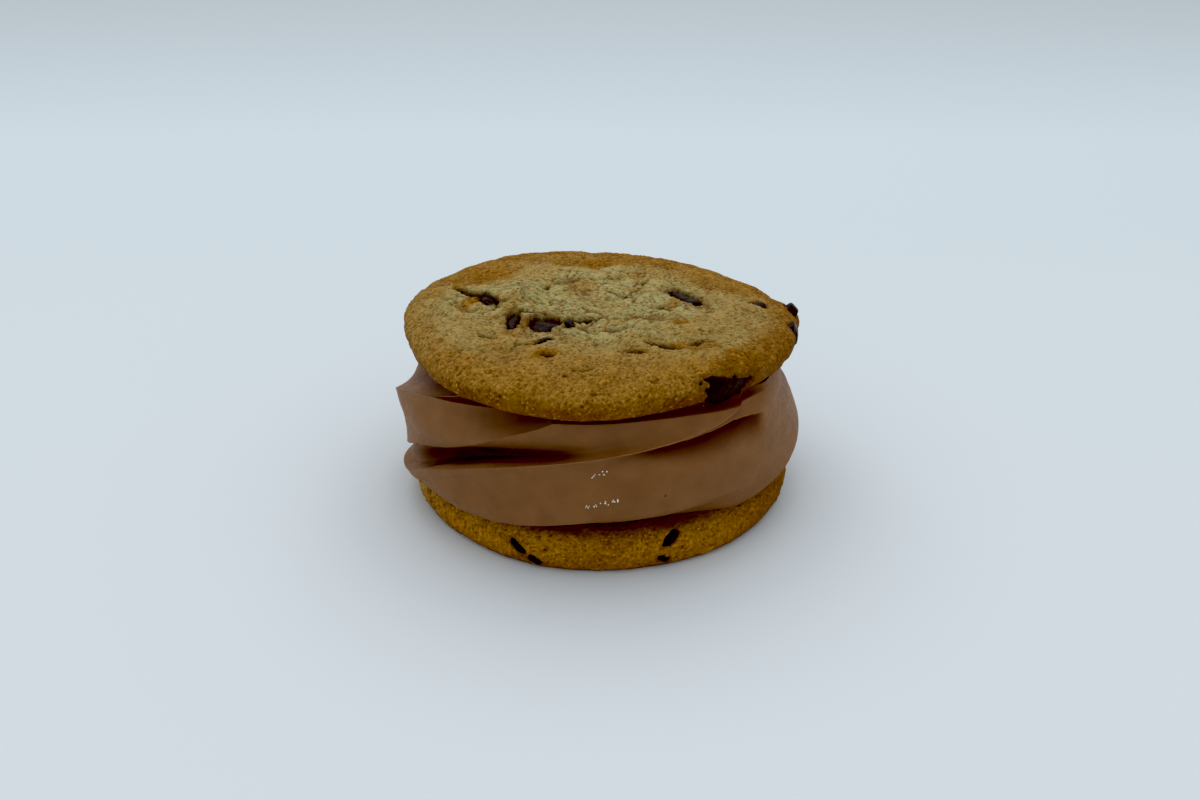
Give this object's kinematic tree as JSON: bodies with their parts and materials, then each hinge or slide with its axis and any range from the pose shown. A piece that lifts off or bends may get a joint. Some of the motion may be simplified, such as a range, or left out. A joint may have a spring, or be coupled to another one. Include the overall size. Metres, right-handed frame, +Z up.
{
  "type": "ice cream sandwich",
  "caption": "Chocolate chip cookie ice cream sandwich: a thick piped band of chocolate ice cream with swirled folds, held between a lower and an upper round cookie",
  "frame": {"origin": "centre of the lower cookie's flat underside, on the surface that the sandwich rests on", "axes": "+Z up through both cookies, +X to the sandwich's right and -Y to its front, seen from the side on which the ice cream's main folds climb to the right"},
  "size_m": [0.0832, 0.0829, 0.0423],
  "materials": {
    "cookie": "dry baked crust, golden brown, paler and crumpled in the middle of the top",
    "ice_cream": "soft satin chocolate ice cream, finely icy",
    "chocolate": "dark chocolate chips with a soft sheen"
  },
  "bodies": {
    "root": {"lower_cookie": "cookie", "ice_cream": "ice_cream", "upper_cookie": "cookie", "lower_cookie_chip_1": "chocolate", "lower_cookie_chip_2": "chocolate", "lower_cookie_chip_3": "chocolate", "lower_cookie_chip_4": "chocolate", "lower_cookie_chip_5": "chocolate", "lower_cookie_chip_6": "chocolate", "lower_cookie_chip_7": "chocolate", "lower_cookie_chip_8": "chocolate", "upper_cookie_chip_1": "chocolate", "upper_cookie_chip_2": "chocolate", "upper_cookie_chip_3": "chocolate", "upper_cookie_chip_4": "chocolate", "upper_cookie_chip_5": "chocolate", "upper_cookie_chip_6": "chocolate", "upper_cookie_chip_7": "chocolate", "upper_cookie_chip_8": "chocolate", "upper_cookie_chip_9": "chocolate", "upper_cookie_chip_10": "chocolate", "upper_cookie_chip_11": "chocolate", "upper_cookie_chip_12": "chocolate"}
  },
  "joints": []
}
